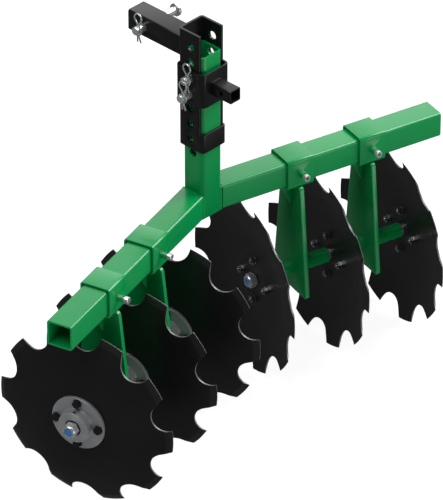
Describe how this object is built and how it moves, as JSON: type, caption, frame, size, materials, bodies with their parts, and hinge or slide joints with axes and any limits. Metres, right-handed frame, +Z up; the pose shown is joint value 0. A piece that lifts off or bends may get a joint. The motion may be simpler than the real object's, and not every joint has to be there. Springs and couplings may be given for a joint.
{
  "type": "towed disc harrow",
  "caption": "Small V-frame disc harrow with notched dished blades on swept gangs, clamp-on shanks and a pinned height-adjustable drawbar hitch.",
  "frame": {"origin": "on the floor under the centre of the bounding box", "axes": "+X to the machine's right, across both arms; +Y forward, the way it is towed and the way the drawbar points; +Z up"},
  "size_m": [1.1728, 0.5186, 0.9018],
  "materials": {
    "green_paint": "glossy green powder coat",
    "black_paint": "satin black powder coat",
    "blade_coat": "satin black coat, bare bevelled edges",
    "grey_casting": "smooth grey",
    "zinc_plate": "bright zinc plate"
  },
  "bodies": {
    "frame": {"mast": "green_paint", "left_arm": "green_paint", "right_arm": "green_paint", "hitch_bracket": "black_paint", "drawbar": "black_paint", "mast_collar": "black_paint", "collar_stub": "black_paint", "hitch_pin": "zinc_plate", "hitch_pin_clip": "zinc_plate", "upper_mast_pin": "zinc_plate", "upper_mast_pin_clip": "zinc_plate", "lower_mast_pin": "zinc_plate", "lower_mast_pin_clip": "zinc_plate"},
    "left_carrier": {"left_inner_clamp_sleeve": "green_paint", "left_inner_set_bolt": "zinc_plate", "left_inner_shank_plate": "green_paint", "left_inner_bearing_tube": "green_paint", "left_outer_clamp_sleeve": "green_paint", "left_outer_set_bolt": "zinc_plate", "left_outer_shank_plate": "green_paint", "left_outer_bearing_tube": "green_paint"},
    "right_carrier": {"right_inner_clamp_sleeve": "green_paint", "right_inner_set_bolt": "zinc_plate", "right_inner_shank_plate": "green_paint", "right_inner_bearing_tube": "green_paint", "right_outer_clamp_sleeve": "green_paint", "right_outer_set_bolt": "zinc_plate", "right_outer_shank_plate": "green_paint", "right_outer_bearing_tube": "green_paint"},
    "left_gang": {"left_axle": "zinc_plate", "left_inner_blade": "blade_coat", "left_inner_hub": "grey_casting", "left_middle_blade": "blade_coat", "left_middle_hub": "grey_casting", "left_outer_blade": "blade_coat", "left_outer_hub": "grey_casting", "left_inner_axle_nut": "zinc_plate", "left_outer_axle_nut": "zinc_plate"},
    "right_gang": {"right_axle": "zinc_plate", "right_inner_blade": "blade_coat", "right_inner_hub": "grey_casting", "right_middle_blade": "blade_coat", "right_middle_hub": "grey_casting", "right_outer_blade": "blade_coat", "right_outer_hub": "grey_casting", "right_inner_axle_nut": "zinc_plate", "right_outer_axle_nut": "zinc_plate"}
  },
  "joints": [
    {"name": "left_gang_slide", "type": "slide", "parent": "frame", "child": "left_carrier", "axis": [-0.9659, -0.2588, 0], "range_m": [-0.04, 0.13]},
    {"name": "right_gang_slide", "type": "slide", "parent": "frame", "child": "right_carrier", "axis": [0.9659, -0.2588, 0], "range_m": [-0.04, 0.13]},
    {"name": "left_gang_spin", "type": "hinge", "parent": "left_carrier", "child": "left_gang", "pos_m": [0, 0.07166, 0.20635], "axis": [-0.9659, -0.2588, 0], "continuous": true},
    {"name": "right_gang_spin", "type": "hinge", "parent": "right_carrier", "child": "right_gang", "pos_m": [0, 0.07166, 0.20635], "axis": [-0.9659, 0.2588, 0], "continuous": true}
  ]
}
